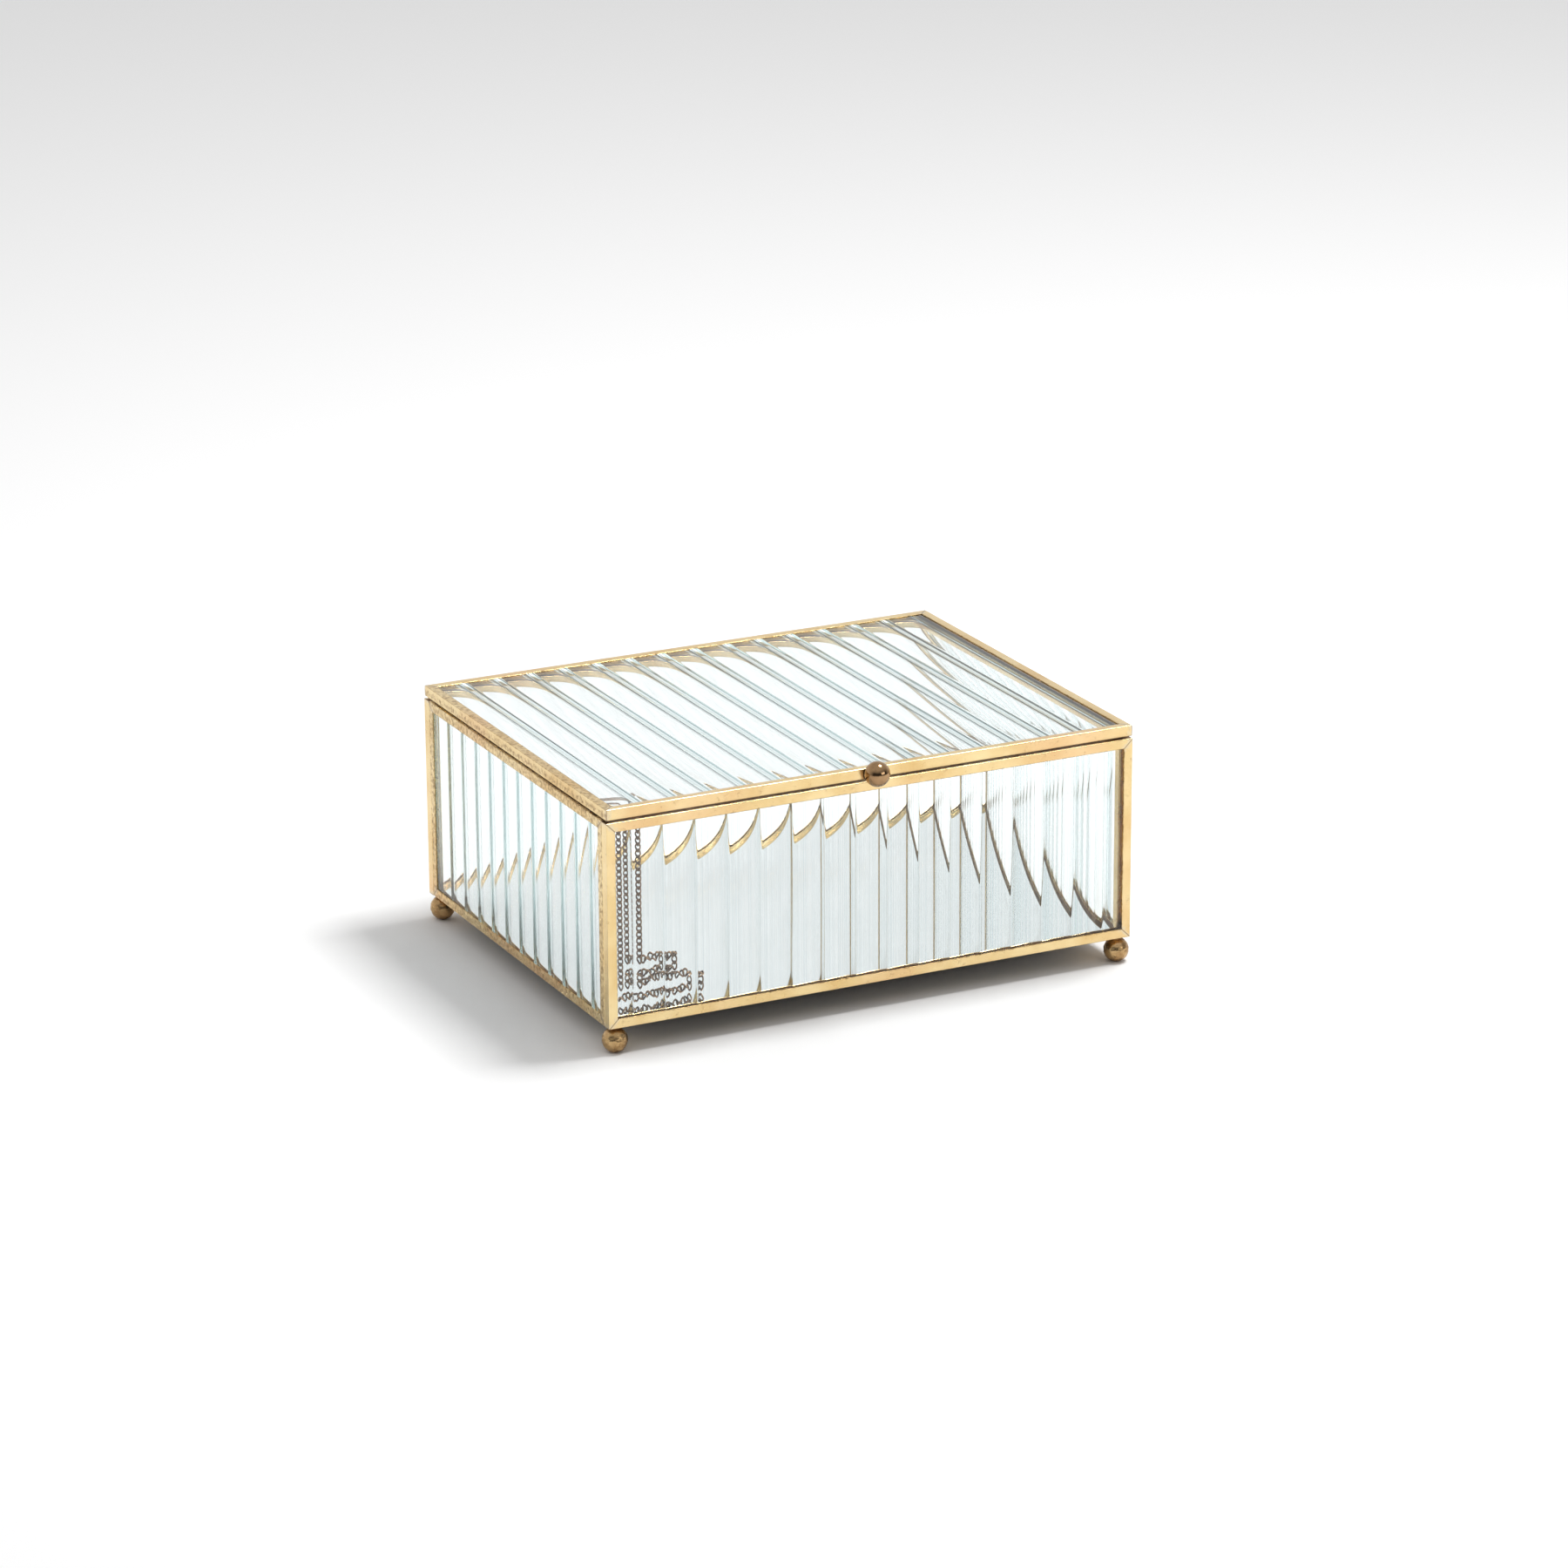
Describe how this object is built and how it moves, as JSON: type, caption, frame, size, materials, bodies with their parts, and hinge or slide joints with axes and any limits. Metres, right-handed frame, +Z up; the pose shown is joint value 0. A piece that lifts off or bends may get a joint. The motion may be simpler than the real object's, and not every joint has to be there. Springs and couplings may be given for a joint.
{
  "type": "trinket box",
  "caption": "Hinged jewellery box of fluted glass panes in brass channel, with a mirror base, ball feet, a ball knob and a fine chain that stays the lid.",
  "frame": {"origin": "on the ground under the middle of the box's whole outline, knob and hinges included", "axes": "+X to the right seen from the front, +Y from the front knob to the back hinges, +Z up"},
  "size_m": [0.1816, 0.1474, 0.0806],
  "materials": {
    "brass": "satin",
    "bronzed_brass": "polished, darkened",
    "hinge_wire": "dull",
    "chain_brass": "aged",
    "fluted_glass": "clear, hollow flutes on one face",
    "mirror": "silvered",
    "backing_board": "matt black board"
  },
  "bodies": {
    "box": {"front_bottom_rail": "brass", "front_right_post": "brass", "front_top_rail": "brass", "front_left_post": "brass", "back_bottom_rail": "brass", "back_left_post": "brass", "back_top_rail": "brass", "back_right_post": "brass", "left_bottom_rail": "brass", "left_front_post": "brass", "left_top_rail": "brass", "left_back_post": "brass", "right_bottom_rail": "brass", "right_back_post": "brass", "right_top_rail": "brass", "right_front_post": "brass", "front_glass": "fluted_glass", "back_glass": "fluted_glass", "left_glass": "fluted_glass", "right_glass": "fluted_glass", "mirror": "mirror", "backing_board": "backing_board", "corner_plate_1": "brass", "corner_plate_2": "brass", "corner_plate_3": "brass", "corner_plate_4": "brass", "foot_1": "brass", "foot_2": "brass", "foot_3": "brass", "foot_4": "brass", "hinge_1_body_tubes": "brass", "hinge_1_pin": "hinge_wire", "hinge_2_body_tubes": "brass", "hinge_2_pin": "hinge_wire", "body_eyelet": "chain_brass"},
    "lid": {"lid_front_rail": "brass", "lid_right_rail": "brass", "lid_back_rail": "brass", "lid_left_rail": "brass", "lid_glass": "fluted_glass", "lid_knob": "bronzed_brass", "hinge_1_lid_tube": "brass", "hinge_2_lid_tube": "brass", "lid_eyelet": "chain_brass"},
    "stay_rise": {"chain_rise": "chain_brass"},
    "stay_drop": {"chain_drop": "chain_brass"},
    "stay_fold_1": {"chain_fold_1": "chain_brass"},
    "stay_turn_1": {"chain_turn_1": "chain_brass"},
    "stay_fold_2": {"chain_fold_2": "chain_brass"},
    "stay_turn_2": {"chain_turn_2": "chain_brass"},
    "stay_fold_3": {"chain_fold_3": "chain_brass"},
    "stay_turn_3": {"chain_turn_3": "chain_brass"},
    "stay_fold_4": {"chain_fold_4": "chain_brass"}
  },
  "joints": [
    {"name": "lid_hinge", "type": "hinge", "parent": "box", "child": "lid", "pos_m": [0, 0.0724, 0.07442], "axis": [-1, 0, 0], "range_deg": [0, 93.6]},
    {"name": "stay_rise_swing", "type": "hinge", "parent": "box", "child": "stay_rise", "pos_m": [-0.0792, -0.0537, 0.07017], "axis": [0.9995, -0.0308, 0], "range_deg": [0, 135.16]},
    {"name": "stay_drop_swing", "type": "hinge", "parent": "lid", "child": "stay_drop", "pos_m": [-0.0752, -0.0537, 0.07017], "axis": [0.9996, 0.0289, 0], "range_deg": [0, 48.79]},
    {"name": "stay_fold_1_bend", "type": "hinge", "parent": "stay_drop", "child": "stay_fold_1", "pos_m": [-0.0752, -0.0537, 0.02417], "axis": [0, 1, 0], "range_deg": [0, 90.05]},
    {"name": "stay_turn_1_bend", "type": "hinge", "parent": "stay_fold_1", "child": "stay_turn_1", "pos_m": [-0.0632, -0.0537, 0.02417], "axis": [0, -1, 0], "range_deg": [0, 90.05]},
    {"name": "stay_fold_2_bend", "type": "hinge", "parent": "stay_turn_1", "child": "stay_fold_2", "pos_m": [-0.0632, -0.0537, 0.02017], "axis": [0, -1, 0], "range_deg": [0, 90.05]},
    {"name": "stay_turn_2_bend", "type": "hinge", "parent": "stay_fold_2", "child": "stay_turn_2", "pos_m": [-0.0752, -0.0537, 0.02017], "axis": [0, 1, 0], "range_deg": [0, 90.05]},
    {"name": "stay_fold_3_bend", "type": "hinge", "parent": "stay_turn_2", "child": "stay_fold_3", "pos_m": [-0.0752, -0.0537, 0.01617], "axis": [0, 1, 0], "range_deg": [0, 90.05]},
    {"name": "stay_turn_3_bend", "type": "hinge", "parent": "stay_fold_3", "child": "stay_turn_3", "pos_m": [-0.0552, -0.0537, 0.01617], "axis": [0, -1, 0], "range_deg": [0, 90.05]},
    {"name": "stay_fold_4_bend", "type": "hinge", "parent": "stay_turn_3", "child": "stay_fold_4", "pos_m": [-0.0552, -0.0537, 0.01217], "axis": [0, -1, 0], "range_deg": [0, 90.05]}
  ],
  "couplings": [
    {"joint": "stay_rise_swing", "follows": "lid_hinge", "ratio": 1.4435},
    {"joint": "stay_drop_swing", "follows": "lid_hinge", "ratio": 0.52077},
    {"joint": "stay_fold_1_bend", "follows": "lid_hinge", "ratio": 0.96154},
    {"joint": "stay_turn_1_bend", "follows": "lid_hinge", "ratio": 0.96154},
    {"joint": "stay_fold_2_bend", "follows": "lid_hinge", "ratio": 0.96154},
    {"joint": "stay_turn_2_bend", "follows": "lid_hinge", "ratio": 0.96154},
    {"joint": "stay_fold_3_bend", "follows": "lid_hinge", "ratio": 0.96154},
    {"joint": "stay_turn_3_bend", "follows": "lid_hinge", "ratio": 0.96154},
    {"joint": "stay_fold_4_bend", "follows": "lid_hinge", "ratio": 0.96154}
  ]
}
